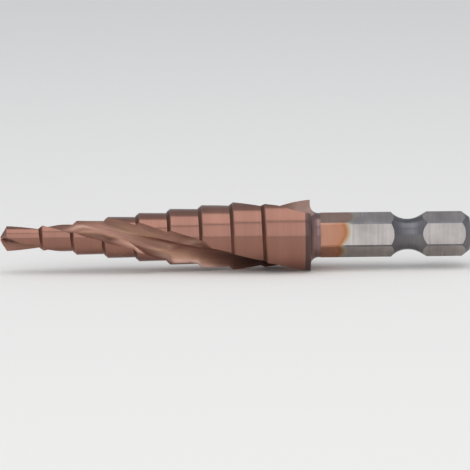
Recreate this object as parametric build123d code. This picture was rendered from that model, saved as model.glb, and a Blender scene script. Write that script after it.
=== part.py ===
from build123d import *
from math import asin, atan2, cos, degrees, radians, sin, sqrt, tan
import os

# A one-piece step drill: nine ground steps on a stepped cone with two right-hand spiral
# flutes, a split point, and a hexagonal quick-change shank.
#
# The drill is drawn on the X axis with its tip at the origin and its shank towards +X, and
# at the end it is laid down on its step corners. Angles round the axis are in degrees,
# counted from -Y towards +Z. The cutting edges move towards rising angles, and the flutes
# turn towards falling angles from tip to shank, as a right-hand drill's do.

# ---- Driving dimensions: millimetres and degrees ----

# Steps
step_count = 9
first_diameter = 4.0
diameter_rise = 1.0
first_step_length = 6.2
step_pitch = 5.06
last_step_length = 7.88
point_angle = 118.0
chamfer_angle = 41.0
back_taper = 0.9

# Relief ground behind each cutting edge: how far the round of a land, a chamfer and the
# point are set off the axis, and where behind the edge they fall away fastest
land_offset = 0.17
last_land_offset = 0.08
chamfer_offset = 0.36
point_offset = 0.26
steepest_behind_edge = 50.0
parting_ahead_of_edge = 20.0

# Back end of the fluted body
bevel_length = 0.9
bevel_angle = 17.0

# Neck and shank
flat_angle = 30.0
neck_diameter = 7.08
neck_fillet = 1.3
shank_length = 23.9
hex_across_flats = 6.35
hex_corner_diameter = 7.16
neck_length = 1.6
groove_from_end = 10.0
groove_neck_diameter = 4.9
groove_front_radius = 3.65
groove_back_radius = 4.0
groove_back_slope = 29.5
end_face_diameter = 5.3
end_chamfer_angle = 36.0
end_crown = 0.12

# Split point, ground in behind each cutting edge at the tip
gash_start = 0.25
gash_web = 0.3
gash_slope = 21.8
gash_wall_lean = 19.3
gash_length = 8.0
gash_reach = 5.0

# Attitude at rest on a flat surface: roll about the axis, and slope of the axis down to the tip
rest_roll = -8.7
rest_slope = -0.21
placing_tolerance = 0.005

# Flutes. Each flute is ground in two passes of a round-edged wheel. A station gives where the
# wheel is in steps from the first corner, the direction of its deepest point, and the depth
# left under it and its own edge radius, both as shares of the envelope's radius there.
flute_count = 2
wheel_contact = 115.0
points_round_edge = 15
rows_along_pass = 37
surface_tolerance = 0.002
tip_pass = [
    (-0.60, 147.4, 0.443, 0.797),
    (0.40, 111.2, 0.367, 0.715),
    (1.15, 85.2, 0.325, 0.614),
    (1.90, 51.0, 0.389, 0.493),
    (2.95, 30.4, 0.427, 0.925),
    (3.90, 3.9, 0.528, 0.995),
    (5.05, -22.2, 0.620, 1.130),
    (5.95, -42.6, 0.585, 1.070),
    (6.50, -51.2, 0.861, 1.072),
]
body_pass = [
    (2.30, 56.7, 0.524, 0.327),
    (2.95, 40.6, 0.448, 0.248),
    (3.90, -4.1, 0.490, 0.372),
    (5.05, -42.9, 0.454, 0.472),
    (5.60, -47.4, 0.509, 0.401),
    (6.70, -61.8, 0.605, 0.840),
    (7.85, -83.1, 0.602, 1.049),
    (8.40, -89.9, 0.500, 0.766),
    (9.00, -104.1, 0.497, 0.690),
    (9.40, -111.8, 0.542, 0.659),
    (10.20, -126.8, 0.620, 0.637),
]

# ---- Sizes that follow ----

axis_end = Vector(1, 0, 0)
margin = 1.0


def step_radius(step):
    """Radius of a step at the cutting edge of its front corner."""
    return (first_diameter + diameter_rise * step) / 2


def chamfer_start(step):
    """Distance from the tip to the small end of a step's chamfer."""
    return first_step_length + step_pitch * (step - 1)


body_length = chamfer_start(step_count - 1) + last_step_length
hex_start = body_length + neck_length
overall_length = hex_start + shank_length


def corner(step):
    """Distance from the tip to the front corner of a step, at its cutting edge."""
    if step == 0:
        cone_radius = step_radius(0) - point_offset * sin(radians(steepest_behind_edge))
        return cone_radius / tan(radians(point_angle / 2))
    land_drop = step_pitch * tan(radians(back_taper))
    return chamfer_start(step) + (diameter_rise / 2 + land_drop) / tan(radians(chamfer_angle))


def distance_at(steps):
    """Distance from the tip of a place counted in steps from the first corner."""
    if steps < 1:
        return corner(0) + (corner(1) - corner(0)) * steps
    return corner(1) + step_pitch * (steps - 1)


def direction(angle):
    """Unit vector square to the axis."""
    return Vector(0, -cos(radians(angle)), sin(radians(angle)))


def blend(stations, steps, column):
    """Smooth curve through one column of the stations, with level slopes at both ends."""
    places = [station[0] for station in stations]
    values = [station[column] for station in stations]
    slopes = [
        (values[min(i + 1, len(values) - 1)] - values[max(i - 1, 0)])
        / (places[min(i + 1, len(places) - 1)] - places[max(i - 1, 0)])
        for i in range(len(values))
    ]
    span = max(i for i in range(len(places) - 1) if places[i] <= steps)
    width = places[span + 1] - places[span]
    t = (steps - places[span]) / width
    rise = values[span + 1] - values[span]
    bend = (slopes[span] * width - rise) * (1 - t) - (slopes[span + 1] * width - rise) * t
    return values[span] + rise * t + t * (1 - t) * bend


def wheel_at(stations, steps):
    """Direction, floor distance and edge radius of the wheel at one place."""
    envelope = step_radius(0) + diameter_rise / 2 * steps
    angle = blend(stations, steps, 1)
    return angle, blend(stations, steps, 2) * envelope, blend(stations, steps, 3) * envelope


def edge_angle(steps):
    """Angle of the cutting edge, where the deeper-reaching pass meets the envelope."""
    envelope = step_radius(0) + diameter_rise / 2 * steps
    edges = []
    for stations in (tip_pass, body_pass):
        if stations[0][0] <= steps <= stations[-1][0]:
            angle, floor, radius = wheel_at(stations, steps)
            reach = floor + radius
            cosine = (reach**2 + envelope**2 - radius**2) / (2 * reach * envelope)
            if abs(cosine) < 1:
                edges.append(angle - degrees(atan2(sqrt(1 - cosine**2), cosine)))
    return min(edges)


# ---- The fluted body ----


def eccentric_plane(distance, angle, offset, seam):
    """Plane square to the axis, with its centre moved off the axis towards an angle, and the
    seam of a round drawn on it turned by a quarter so that it lies in the flutes."""
    centre = axis_end * distance + direction(angle) * offset
    return Plane(origin=centre, x_dir=direction(angle + seam), z_dir=axis_end)


def half_space(angle, start, end):
    """Block on one side of the axis, on the side that an angle points to."""
    size = step_radius(step_count) + margin
    plane = Plane(origin=axis_end * start, x_dir=axis_end, z_dir=direction(angle))
    block = Box(end - start, 2 * size, size, align=(Align.MIN, Align.CENTER, Align.MIN))
    return plane * block


def relieved_half(step):
    """One land's half of a step: a tapered round and its chamfer, each set off the axis so
    that both fall away behind the cutting edge."""
    radius = step_radius(step)
    edge = edge_angle(step)
    ahead = 90 - steepest_behind_edge
    last = step == step_count - 1
    offset = last_land_offset if last else land_offset
    land_radius = radius - offset * cos(radians(ahead))
    start = corner(step) - 2 * margin if step else 0.0
    end = body_length if last else corner(step) + step_pitch + margin
    slope = tan(radians(back_taper))
    round_start = land_radius + slope * (corner(step) - start)
    round_end = land_radius - slope * (end - corner(step))
    land_plane = eccentric_plane(start, edge + ahead, offset, 90)
    land = Solid.make_cone(round_start, round_end, end - start, land_plane)

    half_angle = chamfer_angle if step else point_angle / 2
    cone_offset = chamfer_offset if step else point_offset
    cone_radius = radius - cone_offset * cos(radians(ahead))
    apex = corner(step) - cone_radius / tan(radians(half_angle))
    cone_length = end + margin - apex
    cone_plane = eccentric_plane(apex, edge + ahead, cone_offset, 75)
    cone = Solid.make_cone(0, cone_length * tan(radians(half_angle)), cone_length, cone_plane)

    parting = edge + parting_ahead_of_edge
    return land & cone & half_space(parting - 90, min(start, apex), end)


def stepped_blank():
    """All steps, each land's halves joined, with the bevel at the back end."""
    halves = [relieved_half(step) for step in range(step_count)]
    turned = [half.rotate(Axis.X, 180) for half in halves]
    blank = halves[0].fuse(*halves[1:], *turned)
    back_radius = step_radius(step_count - 1)
    bevel_base = back_radius + tan(radians(bevel_angle)) * (body_length - bevel_length)
    bevel_tip = bevel_base - tan(radians(bevel_angle)) * body_length
    bevel = Solid.make_cone(bevel_base, bevel_tip, body_length, Plane.YZ)
    return blank & bevel


def wheel_surface(stations):
    """Surface swept by the wheel's round edge along a flute, through points on the edge."""
    first = stations[0][0]
    last = stations[-1][0]
    rows = []
    for i in range(rows_along_pass):
        steps = min(first + (last - first) * i / (rows_along_pass - 1), last)
        angle, floor, radius = wheel_at(stations, steps)
        centre = axis_end * distance_at(steps) + direction(angle) * (floor + radius)
        row = []
        for j in range(points_round_edge):
            turn = wheel_contact * (2 * j / (points_round_edge - 1) - 1)
            row.append(centre - direction(angle + turn) * radius)
        rows.append(row)
    return Face.make_surface_from_array_of_points(rows, tol=surface_tolerance, min_deg=3, max_deg=3)


def grind(blank, stations):
    """Blank with one pass ground out of every flute."""
    surface = wheel_surface(stations)
    for flute in range(flute_count):
        sheet = surface.rotate(Axis.X, 360 / flute_count * flute)
        pieces = blank.split(sheet, keep=Keep.ALL).solids()
        blank = max(pieces, key=lambda piece: piece.volume)
    return blank


def gash():
    """Wedge of the split point, with its wall behind the point's flank and its floor
    along the web."""
    wedge = Box(
        gash_length,
        gash_reach,
        gash_reach,
        align=(Align.MIN, Align.MAX, Align.MIN),
    )
    corner_point = axis_end * gash_start + direction(0) * gash_web
    leaned = Rot(0, gash_slope, 0) * Rot(90 - gash_wall_lean, 0, 0) * wedge
    return leaned.moved(Location(corner_point))


def neck():
    """Round neck behind the body, with a fillet up the body's back face."""
    neck_radius = neck_diameter / 2
    fillet_top = neck_radius + neck_fillet
    fillet_end = body_length + neck_fillet
    fillet_middle = neck_fillet * (1 - sqrt(0.5))
    outline = Polyline(
        (fillet_end, neck_radius),
        (hex_start, neck_radius),
        (hex_start, 0),
        (body_length - bevel_length, 0),
        (body_length - bevel_length, fillet_top),
        (body_length, fillet_top),
    )
    arc = ThreePointArc(
        (body_length, fillet_top),
        (body_length + fillet_middle, neck_radius + fillet_middle),
        (fillet_end, neck_radius),
    )
    return revolve(make_face(outline + arc), Axis.X)


def fluted_body():
    """Stepped blank and neck with the flutes and the split point ground in."""
    body = stepped_blank() + neck()
    body = body.solids()[0]
    body = grind(body, tip_pass)
    body = grind(body, body_pass)
    for flute in range(flute_count):
        body = body - gash().rotate(Axis.X, 360 / flute_count * flute)
    return body


# ---- The shank ----


def shank_outline():
    """Face under the shank's turned outline: quick-change groove, end chamfer and crown."""
    corner_radius = hex_corner_diameter / 2
    groove_radius = groove_neck_diameter / 2
    groove_place = overall_length - groove_from_end
    front_rise = groove_front_radius - (corner_radius - groove_radius)
    front_length = sqrt(groove_front_radius**2 - front_rise**2)
    front_half = radians(degrees(atan2(front_length, front_rise)) / 2)
    slope = radians(groove_back_slope)
    back_length = groove_back_radius * sin(slope)
    back_radius = groove_radius + groove_back_radius * (1 - cos(slope))
    cone_end = groove_place + back_length + (corner_radius - back_radius) / tan(slope)
    end_radius = end_face_diameter / 2
    chamfer_place = overall_length - end_crown
    chamfer_front = chamfer_place - (corner_radius - end_radius) / tan(radians(end_chamfer_angle))
    front_arc = ThreePointArc(
        (groove_place - front_length, corner_radius),
        (
            groove_place - groove_front_radius * sin(front_half),
            groove_radius + groove_front_radius * (1 - cos(front_half)),
        ),
        (groove_place, groove_radius),
    )
    back_arc = ThreePointArc(
        (groove_place, groove_radius),
        (
            groove_place + groove_back_radius * sin(slope / 2),
            groove_radius + groove_back_radius * (1 - cos(slope / 2)),
        ),
        (groove_place + back_length, back_radius),
    )
    crown_radius = (end_radius**2 + end_crown**2) / (2 * end_crown)
    crown_half = asin(end_radius / crown_radius) / 2
    crown = ThreePointArc(
        (chamfer_place, end_radius),
        (overall_length - crown_radius * (1 - cos(crown_half)), crown_radius * sin(crown_half)),
        (overall_length, 0),
    )
    straights = Polyline(
        (groove_place + back_length, back_radius),
        (cone_end, corner_radius),
        (chamfer_front, corner_radius),
        (chamfer_place, end_radius),
    )
    base = Polyline(
        (overall_length, 0),
        (hex_start, 0),
        (hex_start, corner_radius),
        (groove_place - front_length, corner_radius),
    )
    return make_face(front_arc + back_arc + straights + crown + base)


def shank():
    """Hexagonal bar inside the shank's turned outline."""
    section = Plane.YZ.offset(hex_start) * RegularPolygon(
        hex_across_flats / 2, 6, major_radius=False, rotation=flat_angle
    )
    bar = extrude(section, overall_length - hex_start)
    return bar & revolve(shank_outline(), Axis.X)


# ---- The drill, lying on its step corners ----


def laid_down(drill):
    """Drill rolled and sloped to its resting place, with its lowest points at height zero and
    the middle of its length and width over the origin."""
    resting = drill.rotate(Axis.X, rest_roll).rotate(Axis.Y, -rest_slope)
    points = resting.tessellate(placing_tolerance)[0]
    middle_x = (min(point.X for point in points) + max(point.X for point in points)) / 2
    middle_y = (min(point.Y for point in points) + max(point.Y for point in points)) / 2
    lowest = min(point.Z for point in points)
    return resting.moved(Location((-middle_x, -middle_y, -lowest)))


def main():
    drill = fluted_body() + shank()
    os.makedirs("parts", exist_ok=True)
    export_step(laid_down(drill), "parts/step_drill.step")


main()
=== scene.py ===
import math

import bmesh
import bpy
import numpy as np
from mathutils import Matrix, Vector


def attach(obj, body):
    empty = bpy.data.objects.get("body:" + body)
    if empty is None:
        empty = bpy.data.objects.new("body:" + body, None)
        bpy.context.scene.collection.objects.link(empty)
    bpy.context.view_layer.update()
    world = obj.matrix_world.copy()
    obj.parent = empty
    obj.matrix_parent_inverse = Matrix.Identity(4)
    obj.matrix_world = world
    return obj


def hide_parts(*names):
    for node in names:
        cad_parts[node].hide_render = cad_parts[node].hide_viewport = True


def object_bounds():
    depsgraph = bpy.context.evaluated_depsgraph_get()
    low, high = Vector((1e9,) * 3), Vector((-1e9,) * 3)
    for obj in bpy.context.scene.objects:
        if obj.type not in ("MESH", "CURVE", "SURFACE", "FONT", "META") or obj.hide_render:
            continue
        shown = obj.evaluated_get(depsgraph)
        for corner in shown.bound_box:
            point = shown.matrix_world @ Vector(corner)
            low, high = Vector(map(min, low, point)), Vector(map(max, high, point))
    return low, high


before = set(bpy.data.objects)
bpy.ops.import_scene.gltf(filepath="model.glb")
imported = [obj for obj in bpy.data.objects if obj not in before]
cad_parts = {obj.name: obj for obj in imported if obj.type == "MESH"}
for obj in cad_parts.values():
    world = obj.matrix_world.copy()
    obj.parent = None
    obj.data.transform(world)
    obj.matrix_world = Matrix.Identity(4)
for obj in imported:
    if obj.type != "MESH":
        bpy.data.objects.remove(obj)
cad_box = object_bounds()

MM = 0.001

# ---- The drill's own frame: axis along X from the tip, laid down as the part is ----

REST_ROLL = math.radians(-8.7)
REST_SLOPE = math.radians(-0.21)
LAID = Matrix.Rotation(-REST_SLOPE, 3, "Y") @ Matrix.Rotation(REST_ROLL, 3, "X")


def laid_down(points):
    """Points in the drill's own millimetres rolled about the axis, sloped about Y, with the box's
    middle over the origin and the lowest point at height zero, in metres. Also the shift."""
    turned = points @ np.array(LAID).T
    low, high = turned.min(0), turned.max(0)
    shift = np.array([high[0] - cad_box[1][0] / MM, (low[1] + high[1]) / 2, low[2]])
    return (turned - shift) * MM, shift


# ---- Colours and nodes ----


def linear(code):
    """sRGB hex to linear colour: each channel c over 255, c / 12.92 up to 0.04045, and above it
    ((c + 0.055) / 1.055) to the power 2.4."""
    channels = [int(code[i : i + 2], 16) / 255 for i in (1, 3, 5)]
    return [c / 12.92 if c <= 0.04045 else ((c + 0.055) / 1.055) ** 2.4 for c in channels] + [1.0]


def node(tree, kind, settings=None, **links):
    """Adds a shader node, sets its properties and unlinked sockets, and links the rest."""
    made = tree.nodes.new(kind)
    for name, value in (settings or {}).items():
        if name.startswith("in:"):
            key = name[3:]
            made.inputs[int(key) if key.isdigit() else key].default_value = value
        else:
            setattr(made, name, value)
    for name, source in links.items():
        key = name[1:] if name.startswith("_") else name.replace("_", " ")
        tree.links.new(source, made.inputs[int(key) if key.isdigit() else key])
    return made


# ---- Sizes of the drill, in millimetres and degrees ----

STEPS = 9
FIRST_RADIUS = 2.0
RADIUS_RISE = 0.5
FIRST_LENGTH = 6.2
PITCH = 5.06
BODY_LENGTH = 49.5
TAPER = math.tan(math.radians(0.9))
POINT_SLOPE = math.tan(math.radians(59))
CHAMFER_SLOPE = math.tan(math.radians(41))
CAM_LEAD = 40
LAND_CAM = np.array([0.17] * (STEPS - 1) + [0.08])
CHAMFER_CAM = np.array([0.26] + [0.36] * (STEPS - 1))
BEVEL_LENGTH = 0.9
BAND_START = 48.62
BEVEL_SLOPE = math.tan(math.radians(17))
GASH_START, GASH_WEB = 0.25, 0.3
GASH_SLOPE, GASH_WALL_LEAN = 21.8, 19.3
GASH_REACH = 6
NECK_RADIUS = 3.54
NECK_FILLET = 1.3
HEX_START = 51.1
HEX_INRADIUS = 3.175
HEX_CORNER = 3.58
LENGTH = 75.0
GROOVE_PLACE = LENGTH - 10.0
GROOVE_RADIUS = 2.45
FRONT_ARC, BACK_ARC = 3.65, 4.0
BACK_SLOPE = math.radians(29.5)
END_RADIUS = 2.65
END_SLOPE = math.tan(math.radians(90 - 36))
CROWN = 0.12

# A station of a flute pass: place in steps, direction, and the depth left and the wheel's edge
# radius as shares of the envelope's radius
TIP_PASS = np.array([
    (-0.60, 147.4, 0.443, 0.797),
    (0.40, 111.2, 0.367, 0.715),
    (1.15, 85.2, 0.325, 0.614),
    (1.90, 51.0, 0.389, 0.493),
    (2.95, 30.4, 0.427, 0.925),
    (3.90, 3.9, 0.528, 0.995),
    (5.05, -22.2, 0.620, 1.130),
    (5.95, -42.6, 0.585, 1.070),
    (6.50, -51.2, 0.861, 1.072),
])
BODY_PASS = np.array([
    (2.30, 56.7, 0.524, 0.327),
    (2.95, 40.6, 0.448, 0.248),
    (3.90, -4.1, 0.490, 0.372),
    (5.05, -42.9, 0.454, 0.472),
    (5.60, -47.4, 0.509, 0.401),
    (6.70, -61.8, 0.605, 0.840),
    (7.85, -83.1, 0.602, 1.049),
    (8.40, -89.9, 0.500, 0.766),
    (9.00, -104.1, 0.497, 0.690),
    (9.40, -111.8, 0.542, 0.659),
    (10.20, -126.8, 0.620, 0.637),
])

LAND_COLUMNS = 44
FLUTE_COLUMNS = 104
ROW_SPACING = 0.3
FLAT_COLUMNS, ROUND_COLUMNS = 15, 4
POLE_RADIUS = 0.0005

# Places of the finishes in each piece's list
LAND, CHAMFER, FLUTE, NECK, TURNED, MILLED, BEVEL = range(7)


def cos_deg(angle):
    """Cosine of an angle in degrees."""
    return np.cos(np.radians(angle))


def sin_deg(angle):
    """Sine of an angle in degrees."""
    return np.sin(np.radians(angle))


def eased(value, low, high):
    """Smooth step from 0 at low to 1 at high: t squared times 3 less 2t."""
    t = np.clip((value - low) / (high - low), 0, 1)
    return t * t * (3 - 2 * t)


def step_corners():
    """Distances of the front corners: the first where the point's cone, shrunk by its cam, is as
    wide as the first step, then one pitch apart from where the second step's chamfer ends."""
    first = (FIRST_RADIUS - CHAMFER_CAM[0] * math.sin(math.radians(90 - CAM_LEAD))) / POINT_SLOPE
    second = FIRST_LENGTH + (RADIUS_RISE + PITCH * TAPER) / CHAMFER_SLOPE
    return np.append(first, second + PITCH * np.arange(STEPS - 1))


CORNERS = step_corners()


def steps_at(distance):
    """Place counted in steps: linear from the first corner to the second, by the pitch beyond."""
    first, second = CORNERS[0], CORNERS[1]
    ahead = (distance - first) / (second - first)
    return np.where(distance < second, ahead, 1 + (distance - second) / PITCH)


def blend(stations, place, column):
    """Cubic Hermite curve through one column of the stations, each slope taken between its
    neighbours."""
    places, values = stations[:, 0], stations[:, column]
    before = np.maximum(np.arange(len(places)) - 1, 0)
    after = np.minimum(np.arange(len(places)) + 1, len(places) - 1)
    slopes = (values[after] - values[before]) / (places[after] - places[before])
    span = np.clip(np.searchsorted(places, place, side="right") - 1, 0, len(places) - 2)
    width = places[span + 1] - places[span]
    t = (place - places[span]) / width
    rise = values[span + 1] - values[span]
    bend = (slopes[span] * width - rise) * (1 - t) - (slopes[span + 1] * width - rise) * t
    return values[span] + rise * t + t * (1 - t) * bend


def wheel(stations, distance):
    """Direction, distance of the wheel's centre from the axis, and its edge radius: the stations'
    shares times the envelope's radius, which grows by half a rise with each step."""
    place = np.clip(steps_at(distance), stations[0, 0], stations[-1, 0])
    envelope = FIRST_RADIUS + RADIUS_RISE * place
    floor = blend(stations, place, 2) * envelope
    edge = blend(stations, place, 3) * envelope
    return blend(stations, place, 1), floor + edge, edge


def crossing(distance, radius):
    """Angles of the cutting edge and the heel: each pass meets a round of this radius at its
    direction less and plus the angle whose cosine is (c2 + r2 - w2) / 2cr, and the outermost
    pass counts. Also whether the flute reaches the round at all."""
    place = steps_at(distance)
    low, high = np.full(distance.shape, 1e3), np.full(distance.shape, -1e3)
    reach = np.zeros(distance.shape, bool)
    for stations, exists, lead in (
        (TIP_PASS, place <= TIP_PASS[-1, 0], place < 3.5),
        (BODY_PASS, place >= BODY_PASS[0, 0], place >= 3.5),
    ):
        angle, centre, edge = wheel(stations, distance)
        cosine = (centre**2 + radius**2 - edge**2) / (2 * centre * radius)
        crosses = exists & (np.abs(cosine) < 1)
        counted = crosses | lead
        half = np.degrees(np.arccos(np.clip(cosine, -1, 1)))
        low = np.where(counted, np.minimum(low, angle - half), low)
        high = np.where(counted, np.maximum(high, angle + half), high)
        reach |= crosses
    return low, high, reach


EDGE_OF_STEP = crossing(CORNERS, FIRST_RADIUS + RADIUS_RISE * np.arange(STEPS))[0]


def behind_edge(step, angle):
    """Angle behind a step's cutting edge, from 20 degrees ahead of it round to there again."""
    return np.mod(EDGE_OF_STEP[step] - angle + 20, 360) - 20


def cam(step, angle):
    """How far a round set off the axis has fallen away behind a step's cutting edge:
    cos 40 less the cosine of 40 plus the angle behind the edge."""
    return cos_deg(CAM_LEAD) - cos_deg(CAM_LEAD + behind_edge(step, angle))


def land_radius(step, distance, angle):
    """A step's land: its radius less the back taper, less its cam."""
    radius = FIRST_RADIUS + RADIUS_RISE * step - (distance - CORNERS[step]) * TAPER
    return radius - LAND_CAM[step] * cam(step, angle)


def chamfer_radius(step, distance, angle):
    """A step's chamfer: a cone up to the corner, less its own cam."""
    radius = FIRST_RADIUS + RADIUS_RISE * step + (distance - CORNERS[step]) * CHAMFER_SLOPE
    return radius - CHAMFER_CAM[step] * cam(step, angle)


def body_rows():
    """Rows from the tip's pole to the neck's end. A row is its kind, its step, its nominal
    distance, how far it has gone between two feature lines, and its size within its kind."""
    rows = []
    for size in np.concatenate([[POLE_RADIUS], np.linspace(0.03, 1.0, 34)]):
        rows.append(("point", 0, 0.0, 0.0, size))
    for step in range(STEPS):
        start = CORNERS[step]
        if step < STEPS - 1:
            drop = (CORNERS[step + 1] - start) * TAPER
            end = CORNERS[step + 1] - (RADIUS_RISE + drop) / (CHAMFER_SLOPE + TAPER)
        else:
            end = BODY_LENGTH - BEVEL_LENGTH
            end += (end - start) * TAPER / (BEVEL_SLOPE - TAPER)
        last = end if step < STEPS - 1 else BAND_START
        count = int(np.ceil((last - start) / ROW_SPACING))
        first = 1 if step == 0 else 0
        for share in np.arange(first, count + 1) / count:
            rows.append(("land", step, start + (last - start) * share, share, 0.0))
        if step < STEPS - 1:
            for share in (0.25, 0.5, 0.75):
                place = end + (CORNERS[step + 1] - end) * share
                rows.append(("chamfer", step + 1, place, share, 0.0))
    bevel_start = end
    for share in (0.5, 1.0):
        place = BAND_START + (bevel_start - BAND_START) * share
        rows.append(("band", STEPS - 1, place, share, 0.0))
    for share in (0.25, 0.5, 0.75, 1.0):
        place = bevel_start + (BODY_LENGTH - bevel_start) * share
        rows.append(("bevel", STEPS - 1, place, share, 0.0))
    back_radius = FIRST_RADIUS + RADIUS_RISE * (STEPS - 1) - BEVEL_SLOPE * BEVEL_LENGTH
    for share in (0.33, 0.66, 1.0):
        size = back_radius + (NECK_RADIUS + NECK_FILLET - back_radius) * share
        rows.append(("turned", STEPS - 1, BODY_LENGTH, share, size))
    for turn in np.linspace(0, 90, 13)[1:]:
        place = BODY_LENGTH + NECK_FILLET * (1 - cos_deg(turn))
        size = NECK_RADIUS + NECK_FILLET - NECK_FILLET * math.sin(math.radians(turn))
        rows.append(("turned", STEPS - 1, place, 1.0, size))
    rows.append(("turned", STEPS - 1, HEX_START, 1.0, NECK_RADIUS))
    rows.append(("turned", STEPS - 1, HEX_START, 1.0, POLE_RADIUS))
    return rows


def row_place(row, angle):
    """Distance of a row at an angle. Rows on feature lines lean by the two cams' difference over
    the two slopes' sum, rows between them share the lean of both, and point rows follow the
    cone."""
    kind, step, place, share, size = row
    slopes = np.where(np.arange(STEPS) == 0, POINT_SLOPE, CHAMFER_SLOPE)
    lean = (CHAMFER_CAM - LAND_CAM) / (slopes + TAPER)
    lower = (CHAMFER_CAM[1:] - LAND_CAM[:-1]) / (CHAMFER_SLOPE + TAPER)
    if kind == "point":
        corner = CORNERS[0] + lean[0] * cam(0, angle)
        radius = size * land_radius(0, corner, angle)
        off = CHAMFER_CAM[0]
        across = 2 * radius * off * cos_deg(CAM_LEAD + behind_edge(0, angle))
        return np.sqrt(radius**2 + off**2 - across) / POINT_SLOPE
    if kind == "land":
        here = lean[step] * cam(step, angle)
        beyond = lower[step] * cam(step + 1, angle) if step < STEPS - 1 else 0
        return place + here * (1 - share) + beyond * share
    if kind == "band":
        return place + LAND_CAM[step] * cam(step, angle) / (BEVEL_SLOPE - TAPER) * share
    if kind == "chamfer":
        fallen = cam(step, angle)
        return place + lower[step - 1] * fallen * (1 - share) + lean[step] * fallen * share
    if kind == "bevel":
        return place + LAND_CAM[step] * cam(step, angle) / (BEVEL_SLOPE - TAPER) * (1 - share)
    return place + 0 * angle


def row_radius(row, distance, angle):
    """Radius of the turned and relieved outline on a row."""
    kind, step, _, _, size = row
    if kind == "point":
        corner = row_place(("land", 0, CORNERS[0], 0.0, 0.0), angle)
        return size * land_radius(0, corner, angle)
    if kind in ("land", "band"):
        return land_radius(step, distance, angle)
    if kind == "chamfer":
        return chamfer_radius(step, distance, angle)
    if kind == "bevel":
        beyond = distance - BODY_LENGTH + BEVEL_LENGTH
        return FIRST_RADIUS + RADIUS_RISE * step - beyond * BEVEL_SLOPE
    return size + 0 * angle


def land_section(row):
    """Land of one row from the cutting edge round to the other flute's heel: the angle runs
    evenly between the two crossings, found again a few times as distance and radius settle."""
    share = np.linspace(0, 1, LAND_COLUMNS)
    angle = np.zeros(LAND_COLUMNS) + EDGE_OF_STEP[row[1]] - 60 * share
    for _ in range(12):
        distance = row_place(row, angle)
        radius = row_radius(row, distance, angle)
        edge, heel, _ = crossing(distance, radius)
        angle = edge + share * (heel - 180 - edge)
    distance = row_place(row, angle)
    return distance, angle, row_radius(row, distance, angle), crossing(distance, radius)[2]


def pole(distance):
    """Point inside both wheels, from which the flute's wall is seen whole: the tip pass's centre
    ahead of the body pass, and the body pass's centre once it has begun."""
    tip_angle, tip_centre, _ = wheel(TIP_PASS, distance)
    body_angle, body_centre, _ = wheel(BODY_PASS, distance)
    share = eased(steps_at(distance), 1.9, BODY_PASS[0, 0])
    tip_share = tip_centre * (1 - share)
    body_share = body_centre * share
    across = tip_share * cos_deg(tip_angle) + body_share * cos_deg(body_angle)
    up = tip_share * sin_deg(tip_angle) + body_share * sin_deg(body_angle)
    return across, up


def wall_distance(distance, across, up, turn):
    """How far the flute's wall is from the pole in a direction: the farther exit out of the two
    wheels' rounds."""
    place = steps_at(distance)
    farthest = np.full(distance.shape, -1.0)
    for stations, exists in (
        (TIP_PASS, place <= TIP_PASS[-1, 0]),
        (BODY_PASS, place >= BODY_PASS[0, 0]),
    ):
        angle, centre, edge = wheel(stations, distance)
        dx = across - centre * cos_deg(angle)
        dy = up - centre * sin_deg(angle)
        along = dx * np.cos(turn) + dy * np.sin(turn)
        inside = along**2 - dx**2 - dy**2 + edge**2
        reached = np.sqrt(np.maximum(inside, 0)) - along
        farthest = np.where(exists & (inside > 0), np.maximum(farthest, reached), farthest)
    return farthest


def flute_section(heel_point, edge_point, reach):
    """Flute of one row between a heel and the next cutting edge: directions from the pole run
    evenly between those of the two ends, and the distance along the axis does too. Where the
    flute doesn't reach the surface it is a straight line between the ends."""
    share = np.linspace(0, 1, FLUTE_COLUMNS + 2)[1:-1]
    distance = heel_point[0] + (edge_point[0] - heel_point[0]) * share
    ends = []
    for place, angle, radius in (heel_point, edge_point):
        across, up = pole(np.array([place]))
        dx = radius * cos_deg(angle) - across[0]
        dy = radius * sin_deg(angle) - up[0]
        ends.append(math.atan2(dy, dx))
    sweep = np.mod(ends[1] - ends[0], 2 * np.pi)
    turn = ends[0] + sweep * share
    across, up = pole(distance)
    length = wall_distance(distance, across, up, turn)
    x = across + length * np.cos(turn)
    y = up + length * np.sin(turn)
    _, heel_angle, heel_radius = heel_point
    _, edge_angle, edge_radius = edge_point
    from_heel = heel_radius * (1 - share)
    from_edge = edge_radius * share
    straight_x = from_heel * cos_deg(heel_angle) + from_edge * cos_deg(edge_angle)
    straight_y = from_heel * sin_deg(heel_angle) + from_edge * sin_deg(edge_angle)
    keep = reach & (length > 0)
    return distance, np.where(keep, x, straight_x), np.where(keep, y, straight_y)


# ---- Meshes ----


def body_mesh():
    """Rows of the fluted body and a grid of their points: every row is a land, a flute, and both
    again turned by half a turn."""
    rows = body_rows()
    sections = [land_section(row) for row in rows]
    grid = []
    for row, (distance, angle, radius, reach) in zip(rows, sections):
        heel = (distance[-1], angle[-1] + 180, radius[-1])
        edge = (distance[0], angle[0], radius[0])
        reaches = bool(reach[0] and reach[-1])
        flute = flute_section(heel, edge, reaches)
        x = np.concatenate([radius * cos_deg(angle), -flute[1]])
        y = np.concatenate([radius * sin_deg(angle), -flute[2]])
        along = np.tile(np.concatenate([distance, flute[0]]), 2)
        grid.append(np.stack([along, np.concatenate([x, -x]), np.concatenate([y, -y])], axis=1))
    return rows, np.array(grid)


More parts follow.
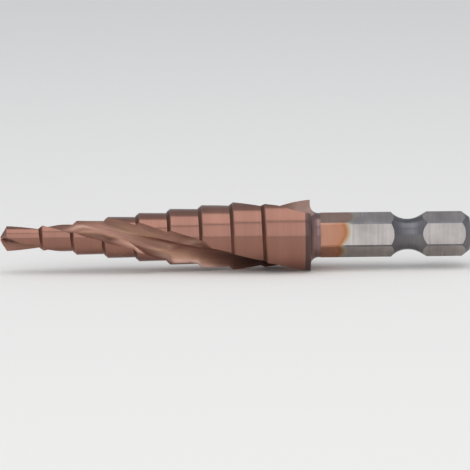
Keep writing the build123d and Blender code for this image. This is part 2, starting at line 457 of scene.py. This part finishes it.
def gash_floor(points):
    """Radius left by the split point's two wedges: each point's ray from the axis is cut where it
    enters a wedge, whose floor slopes back from the web and whose wall leans."""
    slope = Matrix.Rotation(math.radians(GASH_SLOPE), 3, "Y")
    lean = Matrix.Rotation(math.radians(90 - GASH_WALL_LEAN), 3, "X")
    wedge = np.array(slope @ lean)
    radius = np.hypot(points[..., 1], points[..., 2])
    safe = np.maximum(radius, 1e-9)
    out = radius.copy()
    for side in (1, -1):
        along = points[..., 0] - GASH_START
        start = np.stack([along, 0 * radius + GASH_WEB, 0 * radius], axis=-1) @ wedge
        over, up = -side * points[..., 1] / safe, side * points[..., 2] / safe
        ray = np.stack([0 * radius, over, up], axis=-1) @ wedge
        enter, leave = np.zeros(radius.shape), np.full(radius.shape, 99.0)
        for axis, sign in ((0, 1), (1, -1), (2, 1)):
            offset, rate = sign * start[..., axis], sign * ray[..., axis]
            root = -offset / np.where(np.abs(rate) < 1e-9, 1e-9, rate)
            enter = np.where(rate > 0, np.maximum(enter, root), enter)
            leave = np.where(rate <= 0, np.minimum(leave, root), leave)
        cut = (enter < leave) & (leave > out) & (enter < out)
        out = np.where(cut, enter, out)
    return out


def merged(name, points, faces, uv, material_index, stain, cover):
    """Mesh object from metres, quads, a corner map, a material per face, and per point a tint
    value, which on the flutes is painted shade and highlight over the coat's tone, and its cover,
    its doubles merged so that poles and vanished columns close."""
    mesh = bpy.data.meshes.new(name)
    mesh.from_pydata(points.tolist(), [], faces.tolist())
    layer = mesh.uv_layers.new(name="surface")
    layer.data.foreach_set("uv", uv.astype(np.float32).ravel())
    mesh.polygons.foreach_set("material_index", material_index.astype(np.int32))
    for mark, values in (("stain", stain), ("cover", cover)):
        attribute = mesh.attributes.new(mark, "FLOAT", "POINT")
        attribute.data.foreach_set("value", values.astype(np.float32).ravel())
    work = bmesh.new()
    work.from_mesh(mesh)
    bmesh.ops.remove_doubles(work, verts=work.verts, dist=2e-7)
    bmesh.ops.dissolve_degenerate(work, edges=work.edges, dist=1e-7)
    work.to_mesh(mesh)
    work.free()
    mesh.shade_smooth()
    made = bpy.data.objects.new(name, mesh)
    bpy.context.scene.collection.objects.link(made)
    return made


def grid_faces(row_count, column_count):
    """Quads between neighbouring rows and columns, closed round, wound so that they face away
    from the axis. Gives each quad's row and column too."""
    row, column = np.meshgrid(np.arange(row_count - 1), np.arange(column_count), indexing="ij")
    row, column = row.ravel(), column.ravel()
    beyond = (column + 1) % column_count
    faces = np.stack(
        [
            row * column_count + column,
            (row + 1) * column_count + column,
            (row + 1) * column_count + beyond,
            row * column_count + beyond,
        ],
        axis=1,
    )
    return faces, row, column


def surface_map(column, along, count, spacing):
    """Corner map of a grid of quads: columns times their usual spacing round the piece, and the
    distance along the axis, both in millimetres over a hundred."""
    arc = np.arange(count + 1) * spacing
    u = np.stack([arc[column], arc[column], arc[column + 1], arc[column + 1]], axis=1)
    return np.stack([u, along], axis=-1) / 100


def coat_and_painted_light_band(distance, across, line):
    """A band along a flute, one part of its painted shade and highlight over the coat's own tone:
    line gives, at some distances, where across the flute it lies, how wide it is and how strong,
    straight in between; it fades smoothly to both sides."""
    places, middles, widths, strengths = np.array(line).T
    off = np.abs(across - np.interp(distance, places, middles))
    off = off / np.interp(distance, places, widths)
    return np.interp(distance, places, strengths) * (1 - eased(off, 0.0, 1.0))


def flute_stain(distance, across):
    """Tone of a flute, fitted: dark where more than nothing, in the valley and under the crest, and
    pale where less, along the crest, the floor and the cutting edge. The dark is painted shade and
    the pale painted highlight, over the coat's own tone."""
    valley = coat_and_painted_light_band(distance, across, [
        (27, 0.70, 0.3, 0.0),
        (30, 0.68, 0.3, 0.2),
        (32, 0.62, 0.35, 0.45),
        (37, 0.55, 0.5, 0.75),
        (41, 0.55, 0.9, 1.0),
        (43.5, 0.5, 0.9, 1.0),
        (45, 0.5, 0.9, 0.0),
    ])
    flank = coat_and_painted_light_band(distance, across, [
        (9, 0.45, 0.2, 0.0),
        (12.9, 0.66, 0.2, 0.3),
        (17.7, 0.83, 0.17, 0.9),
        (20, 0.70, 0.17, 0.3),
        (22.4, 0.64, 0.2, 0.2),
        (25, 0.60, 0.2, 0.0),
    ])
    crest = coat_and_painted_light_band(distance, across, [
        (9, 0.12, 0.2, 0.0),
        (12.8, 0.26, 0.17, 0.8),
        (17.7, 0.56, 0.17, 0.1),
        (20, 0.80, 0.15, 0.4),
        (22.4, 0.88, 0.18, 0.75),
        (27, 0.92, 0.2, 0.9),
        (32, 0.97, 0.2, 1.1),
        (37, 1.0, 0.2, 0.6),
        (39, 1.0, 0.2, 0.0),
    ])
    floor = coat_and_painted_light_band(distance, across, [
        (22.5, 0.30, 0.25, 0.0),
        (27, 0.45, 0.25, 0.75),
        (29, 0.25, 0.2, 0.5),
        (32, 0.05, 0.15, 0.9),
        (35, 0.05, 0.12, 0.2),
        (36, 0.05, 0.1, 0.0),
        (45, 0.5, 2.0, 0.0),
        (47.5, 0.5, 2.0, 0.9),
        (53, 0.5, 2.0, 0.9),
    ])
    return np.maximum(valley, flank) - crest - floor


def fluted_body():
    """Grid of sections from the tip's pole to the neck's end, with the split point's wedges cut."""
    rows, grid = body_mesh()
    near = grid[..., 0] < GASH_REACH
    radius = np.hypot(grid[..., 1], grid[..., 2])
    left = np.where(near, gash_floor(grid), radius)
    gashed = left < radius - 0.002
    grid[..., 1:] *= (left / np.maximum(radius, 1e-9))[..., None]
    for end in (0, -1):
        grid[end, :, 0] = grid[end, :, 0].mean()
        grid[end, :, 1:] = 0
    count = grid.shape[1]
    half = count // 2
    faces, row, column = grid_faces(len(rows), count)
    kinds = np.array([r[0] for r in rows])
    flute = (column % half) >= LAND_COLUMNS - 1
    kind = kinds[row + 1]
    material = np.where(kind == "chamfer", CHAMFER, LAND)
    material = np.where(kind == "turned", NECK, material)
    material = np.where((kind == "bevel") | (kind == "band"), BEVEL, material)
    material = np.where(flute & (kind != "point"), FLUTE, material)
    material = np.where(gashed.ravel()[faces].sum(axis=1) > 2, FLUTE, material)
    uv = surface_map(column, grid[..., 0].ravel()[faces], count, 0.09)
    points = np.stack([grid[..., 0], -grid[..., 1], grid[..., 2]], axis=-1).reshape(-1, 3)
    across = np.clip((np.arange(count) % half - LAND_COLUMNS + 1) / (FLUTE_COLUMNS + 1), 0, 1)
    # The split point's wedges take one dark tone, painted shade in the recess, and the flutes their
    # fitted tones of painted shade and highlight over the coat's own
    stain = np.where(gashed, 0.6, flute_stain(grid[..., 0], across))
    return points, faces, uv, material, stain, np.ones_like(stain)


def turned_radius(distance):
    """Turned outline of the shank: bar corners, groove of two arcs and a cone, end chamfer and
    crown, each arc as its centre's height less the root of its radius squared less distance
    squared."""
    ahead = distance - GROOVE_PLACE
    arc_front = GROOVE_RADIUS + FRONT_ARC - np.sqrt(np.maximum(FRONT_ARC**2 - ahead**2, 0))
    arc_back = GROOVE_RADIUS + BACK_ARC - np.sqrt(np.maximum(BACK_ARC**2 - ahead**2, 0))
    back_length = BACK_ARC * math.sin(BACK_SLOPE)
    cone = GROOVE_RADIUS + BACK_ARC * (1 - math.cos(BACK_SLOPE))
    cone = cone + (ahead - back_length) * math.tan(BACK_SLOPE)
    front = np.where(ahead > -FRONT_ARC, arc_front, 99)
    inside = np.where(ahead < 0, front, np.where(ahead < back_length, arc_back, cone))
    chamfer = END_RADIUS + (LENGTH - CROWN - distance) / END_SLOPE
    return np.minimum(np.minimum(inside, chamfer), HEX_CORNER)


def hex_shank():
    """Grid of sections of the hexagonal bar: on each of six sides the flat runs between the angles
    whose cosine is the inradius over the turned radius, and the turned round fills the rest."""
    depth = HEX_CORNER - GROOVE_RADIUS
    front_length = math.sqrt(FRONT_ARC**2 - (FRONT_ARC - depth) ** 2)
    cone_end = GROOVE_PLACE + BACK_ARC * math.sin(BACK_SLOPE)
    cone_end += (depth - BACK_ARC * (1 - math.cos(BACK_SLOPE))) / math.tan(BACK_SLOPE)
    chamfer_end = LENGTH - CROWN
    chamfer_start = chamfer_end - (HEX_CORNER - END_RADIUS) * END_SLOPE
    runs = [
        np.linspace(HEX_START, GROOVE_PLACE - front_length, 70),
        np.linspace(GROOVE_PLACE - front_length, GROOVE_PLACE, 40)[1:],
        np.linspace(GROOVE_PLACE, cone_end, 40)[1:],
        np.linspace(cone_end, chamfer_start, 14)[1:],
        np.linspace(chamfer_start, chamfer_end, 14)[1:],
    ]
    distance = np.concatenate(runs)
    radius = turned_radius(distance)
    crown_place = np.array([0.25, 0.5, 0.75, 1.0])
    crown_radius = END_RADIUS * (1 - crown_place)
    crown = chamfer_end + CROWN * (1 - (1 - crown_place) ** 2)
    distance = np.concatenate([[HEX_START], distance, crown])
    radius = np.concatenate([[0.0], radius, crown_radius])
    limit = np.degrees(np.arccos(np.minimum(1, HEX_INRADIUS / np.maximum(radius, HEX_INRADIUS))))
    flat_share = np.linspace(-1, 1, FLAT_COLUMNS)
    round_share = np.linspace(0, 1, ROUND_COLUMNS + 2)[1:-1]
    angles = []
    for side in range(6):
        angles.append(60 * side + limit[:, None] * flat_share)
        angles.append(60 * side + limit[:, None] + (60 - 2 * limit[:, None]) * round_share)
    angle = np.concatenate(angles, axis=1)
    side_columns = FLAT_COLUMNS + ROUND_COLUMNS
    within_side = np.tile(np.arange(side_columns), 6)
    relative = angle - 60 * np.repeat(np.arange(6), side_columns)
    cut_flat = (within_side < FLAT_COLUMNS) & (radius[:, None] > HEX_INRADIUS)
    across = np.where(cut_flat, HEX_INRADIUS / cos_deg(relative), radius[:, None])
    angle = -angle
    count = angle.shape[1]
    faces, row, column = grid_faces(len(distance), count)
    on_flat = (within_side[column] < FLAT_COLUMNS - 1) & (limit[row] > 0) & (limit[row + 1] > 0)
    material = np.where(on_flat, MILLED, TURNED)
    points = np.stack(
        [
            distance[:, None] + 0 * angle,
            -across * cos_deg(angle),
            across * sin_deg(angle),
        ],
        axis=-1,
    )
    uv = surface_map(column, points[..., 0].ravel()[faces], count, 0.19)
    # The tint reaches further on the upper sides and less at a flat's edges. On top it is weaker,
    # painted light that leaves the upper flats greyer
    upward = sin_deg(angle)
    reach = HEX_START + 4.45 + 0.9 * upward - 0.75 * (relative / 30) ** 2
    cover = 1 - 0.4 * eased(upward, 0.465, 0.535)
    return points.reshape(-1, 3), faces, uv, material, reach - points[..., 0], cover


body_points, *body_rest = fluted_body()
shank_points, *shank_rest = hex_shank()
placed, shift = laid_down(np.concatenate([body_points, shank_points]))
body = merged("fluted_body", placed[: len(body_points)], *body_rest)
shank = merged("hex_shank", placed[len(body_points) :], *shank_rest)
body.data.set_sharp_from_angle(angle=math.radians(28))
shank.data.set_sharp_from_angle(angle=math.radians(20))


# ---- Finishes ----

MARK_RANGE = {"in:From Min": 0.3, "in:From Max": 0.7}


def set_ramp(ramp, places, colours):
    """Gives a colour ramp its stops."""
    while len(ramp.elements) < len(places):
        ramp.elements.new(0.5)
    for element, place in zip(ramp.elements, places):
        element.position = place
    for element, colour in zip(ramp.elements, colours):
        element.color = colour


def stained(tree, colour, cloud, stain):
    """Colour under a tint, which on the flutes is painted shade and highlight over the coat's tone:
    the tint value, moved a little by the cloud, is read from low to high on one ramp for the colour
    laid on and on another for its strength."""
    if not stain:
        return colour
    low, high, wander, stops = stain
    amount = node(tree, "ShaderNodeAttribute", {"attribute_name": "stain"})
    moved = node(
        tree,
        "ShaderNodeMath",
        {"operation": "MULTIPLY_ADD", "in:1": wander},
        _0=cloud,
        _2=amount.outputs["Fac"],
    )
    place = node(
        tree,
        "ShaderNodeMapRange",
        {"in:From Min": low + wander / 2, "in:From Max": high + wander / 2},
        Value=moved.outputs[0],
    )
    tint = node(tree, "ShaderNodeValToRGB", {}, Fac=place.outputs["Result"])
    strength = node(tree, "ShaderNodeValToRGB", {}, Fac=place.outputs["Result"])
    places, hexes, strengths = zip(*stops)
    set_ramp(tint.color_ramp, places, [linear(code) for code in hexes])
    set_ramp(strength.color_ramp, places, [(value, value, value, 1.0) for value in strengths])
    cover = node(tree, "ShaderNodeAttribute", {"attribute_name": "cover"})
    share = node(
        tree,
        "ShaderNodeMath",
        {"operation": "MULTIPLY"},
        _0=strength.outputs["Color"],
        _1=cover.outputs["Fac"],
    )
    covered = node(
        tree,
        "ShaderNodeMix",
        {"data_type": "RGBA"},
        _0=share.outputs[0],
        _6=colour,
        _7=tint.outputs["Color"],
    )
    return covered.outputs[2]


def brushed_metal(name, colours, roughness, turn, lines, mottle, bump, scoring, stain):
    """Tool steel, coated or bare. Ground, turned or milled marks are noise drawn out along them:
    lines gives how many there are to a millimetre round the axis and along it, and mottle the same
    for its clouds. Colours are the dark, middle and light of the mottle. Turn is a quarter where
    the marks run round the axis, so that highlights stretch along it. Scoring is how much the marks
    change the colour. The last argument is a ramp of places and colours that the tint value mixes
    in, by how much at each place: heat tint on the shank, and on the flutes painted shade and
    highlight over the coat's tone."""
    material = bpy.data.materials.new(name)
    material.use_nodes = True
    tree = material.node_tree
    shader = tree.nodes["Principled BSDF"]
    shader.inputs["Metallic"].default_value = 1.0
    shader.inputs["Anisotropic"].default_value = 0.85
    shader.inputs["Anisotropic Rotation"].default_value = turn
    surface = node(tree, "ShaderNodeUVMap", {"uv_map": "surface"})
    marks_at = node(
        tree,
        "ShaderNodeMapping",
        {"in:Scale": (100 * lines[0], 100 * lines[1], 1)},
        Vector=surface.outputs["UV"],
    )
    marks = node(
        tree,
        "ShaderNodeTexNoise",
        {"in:Scale": 1.0, "in:Detail": 4.0, "in:Roughness": 0.65},
        Vector=marks_at.outputs["Vector"],
    )
    cloud_at = node(
        tree,
        "ShaderNodeMapping",
        {"in:Scale": (100 * mottle[0], 100 * mottle[1], 1)},
        Vector=surface.outputs["UV"],
    )
    cloud = node(
        tree,
        "ShaderNodeTexNoise",
        {"in:Scale": 1.0, "in:Detail": 3.0},
        Vector=cloud_at.outputs["Vector"],
    )
    shade = node(tree, "ShaderNodeValToRGB", {}, Fac=cloud.outputs["Fac"])
    set_ramp(shade.color_ramp, (0.34, 0.5, 0.66), [linear(code) for code in colours])
    depth = node(
        tree,
        "ShaderNodeMapRange",
        MARK_RANGE | {"in:To Min": 1 - scoring, "in:To Max": 1 + 0.8 * scoring},
        Value=marks.outputs["Fac"],
    )
    scored = node(
        tree,
        "ShaderNodeMix",
        {"data_type": "RGBA", "blend_type": "MULTIPLY", "in:0": 1.0},
        _6=shade.outputs["Color"],
        _7=depth.outputs["Result"],
    )
    rough = node(
        tree,
        "ShaderNodeMapRange",
        MARK_RANGE | {"in:To Min": roughness * 1.15, "in:To Max": roughness * 0.85},
        Value=marks.outputs["Fac"],
    )
    relief = node(
        tree,
        "ShaderNodeBump",
        {"in:Strength": bump, "in:Distance": 0.00002},
        Height=marks.outputs["Fac"],
    )
    tangent = node(tree, "ShaderNodeTangent", {"direction_type": "UV_MAP", "uv_map": "surface"})
    colour = stained(tree, scored.outputs[2], cloud.outputs["Fac"], stain)
    tree.links.new(colour, shader.inputs["Base Color"])
    tree.links.new(rough.outputs["Result"], shader.inputs["Roughness"])
    tree.links.new(relief.outputs["Normal"], shader.inputs["Normal"])
    tree.links.new(tangent.outputs["Tangent"], shader.inputs["Tangent"])
    return material


# Tint like heat colour on bare steel: straw at its edge, then brown, then copper
HEAT = (
    -1.0,
    3.0,
    0.3,
    [
        (0.00, "#C4BCB4", 0.0),
        (0.15, "#BDB9A2", 0.3),
        (0.26, "#B4936C", 0.75),
        (0.38, "#A86F4A", 1.0),
        (0.52, "#B27C62", 1.0),
        (1.00, "#B5846E", 1.0),
    ],
)
# Tones along the flutes, fitted: pale edges beside near black valleys make the grind read deep. The
# pale is painted highlight and the dark painted shade, laid over the coat's own tone
FLUTE_COAT_AND_PAINTED_LIGHT = (
    -1.0,
    1.0,
    0.25,
    [
        (0.0, "#D9B3A4", 0.8),
        (0.46, "#B08A78", 0.0),
        (0.54, "#6A4638", 0.0),
        (1.0, "#3A2620", 0.9),
    ],
)
# Name, dark, middle and light colour, roughness, turn, lines and mottle to the millimetre, bump,
# scoring and tint, which on the flutes is painted shade and highlight, in the order of the
# finishes' places. The marks are 0.14 to 0.4 mm apart, drawn coarser than the real ones, which are
# too fine to show.
FINISHES = [
    # Coated tool steel, ground round: faint rings in even copper brown, with a long soft highlight
    (
        "nitrided_steel_ground_round",
        ("#956C5F", "#9B7062", "#A17566"),
        0.25, 0.25, (0.05, 5.0), (0.12, 0.25), 0.03, 0.04, None,
    ),
    # Coated tool steel, ground to a steep cone, its colour darkened as painted shade, so that each
    # step starts with a dark line
    (
        "nitrided_steel_ground_chamfer_painted_shade",
        ("#623F30", "#6C4838", "#795244"),
        0.34, 0.25, (0.05, 7.0), (0.3, 0.5), 0.1, 0.08, None,
    ),
    # Coated tool steel, ground along the flute: long streaks that follow it, and strong tones of
    # painted shade and highlight over the coat's own
    (
        "nitrided_steel_ground_flute_painted_light",
        ("#8C685A", "#9A7365", "#A67F69"),
        0.30, 0.0, (3.2, 0.1), (0.35, 0.12), 0.15, 0.16, FLUTE_COAT_AND_PAINTED_LIGHT,
    ),
    # Coated tool steel, turned: clear rings with a purple-brown cast
    (
        "nitrided_steel_turned_neck",
        ("#826A66", "#8E736F", "#9C7F79"),
        0.32, 0.25, (0.1, 4.0), (0.2, 0.6), 0.2, 0.16, None,
    ),
    # Bare tool steel, turned: fine rings in smooth dark grey, for the groove, corners and end
    (
        "tool_steel_turned",
        ("#6C696D", "#757275", "#7F7C7E"),
        0.31, 0.25, (0.08, 6.0), (0.2, 0.3), 0.15, 0.12, HEAT,
    ),
    # Bare tool steel, milled across: pale flats with the coarsest lines
    (
        "tool_steel_milled_flat",
        ("#A59D98", "#B0A7A3", "#BBB2AD"),
        0.32, 0.25, (0.12, 2.6), (0.3, 0.25), 0.28, 0.14, HEAT,
    ),
    # Coated tool steel, turned: a dark ring that ends the body
    (
        "nitrided_steel_turned_bevel",
        ("#5E4B47", "#68534F", "#725C58"),
        0.32, 0.25, (0.1, 4.0), (0.2, 0.6), 0.2, 0.16, None,
    ),
]
for finish in FINISHES:
    made_finish = brushed_metal(*finish)
    for piece in (body, shank):
        piece.data.materials.append(made_finish)

for piece in (body, shank):
    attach(piece, "root")
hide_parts("step_drill")

# ---- Camera, floor and lights ----


def rolled_point(along, across, up):
    """A point given in the drill's own millimetres, laid down with it."""
    return (LAID @ Vector((along, across, up)) - Vector(shift)) * MM


AIM_RISE = 1 / 6.267
CAMERA_DISTANCE = 0.5
middle_point = rolled_point(LENGTH / 2, 0, 0)
axis = (rolled_point(LENGTH, 0, 0) - rolled_point(0, 0, 0)).normalized()
sight = (rolled_point(0, -1, 0) - rolled_point(0, 0, 0)).normalized()
above = sight.cross(axis)
picture_tilt = math.radians(0.66)
right = axis * math.cos(picture_tilt) - above * math.sin(picture_tilt)
upward = axis * math.sin(picture_tilt) + above * math.cos(picture_tilt)
target = middle_point + upward * AIM_RISE * MM
camera_data = bpy.data.cameras.new("camera")
camera_data.sensor_width = 36
camera_data.lens = camera_data.sensor_width * CAMERA_DISTANCE / (LENGTH * MM)
camera = bpy.data.objects.new("camera", camera_data)
place = Matrix((right, upward, sight)).transposed().to_4x4()
place.translation = target + sight * CAMERA_DISTANCE
camera.matrix_world = place
bpy.context.scene.collection.objects.link(camera)
bpy.context.scene.camera = camera

floor_mesh = bpy.data.meshes.new("floor")
floor_mesh.from_pydata([(-2, -2, 0), (2, -2, 0), (2, 2, 0), (-2, 2, 0)], [], [(0, 1, 2, 3)])
floor = bpy.data.objects.new("floor", floor_mesh)
bpy.context.scene.collection.objects.link(floor)
# Matte paint on board: an even pale ground that keeps a soft shadow
floor_paint = bpy.data.materials.new("pale_matte_paint")
floor_paint.use_nodes = True
matte = floor_paint.node_tree.nodes["Principled BSDF"]
matte.inputs["Base Color"].default_value = linear("#FDF8F2")
matte.inputs["Roughness"].default_value = 0.9
floor_mesh.materials.append(floor_paint)


def panel(name, elevation, width, height, away, power):
    """Soft rectangular lamp facing the drill's middle from some metres away, raised above the
    line of sight by an angle in degrees. Width and height in metres, power in watts."""
    lamp = bpy.data.lights.new(name, "AREA")
    lamp.shape = "RECTANGLE"
    lamp.size = width
    lamp.size_y = height
    lamp.energy = power
    held = bpy.data.objects.new(name, lamp)
    turn = math.radians(elevation)
    toward = sight * math.cos(turn) + above * math.sin(turn)
    matrix = Matrix((axis, toward.cross(axis), toward)).transposed().to_4x4()
    matrix.translation = middle_point + toward * away
    held.matrix_world = matrix
    bpy.context.scene.collection.objects.link(held)


panel("overhead_softbox", 69.0, 0.6, 0.465, 0.55, 0.78)
panel("front_softbox", 17.9, 0.6, 0.443, 0.55, 0.56)
world = bpy.data.worlds.new("studio")
bpy.context.scene.world = world
world.use_nodes = True
studio = world.node_tree
# The sky is a little dimmer behind the drill than in front of it
direction = node(studio, "ShaderNodeTexCoord")
toward_back = node(studio, "ShaderNodeSeparateXYZ", {}, Vector=direction.outputs["Generated"])
dimmed = node(
    studio,
    "ShaderNodeMapRange",
    {"in:From Min": 0.0, "in:From Max": 0.7, "in:To Min": 1.0, "in:To Max": 0.68},
    Value=toward_back.outputs["Y"],
)
studio.nodes["Background"].inputs["Color"].default_value = (0.63, 0.67, 0.72, 1.0)
studio.links.new(dimmed.outputs["Result"], studio.nodes["Background"].inputs["Strength"])
bpy.context.scene.view_settings.view_transform = "Standard"
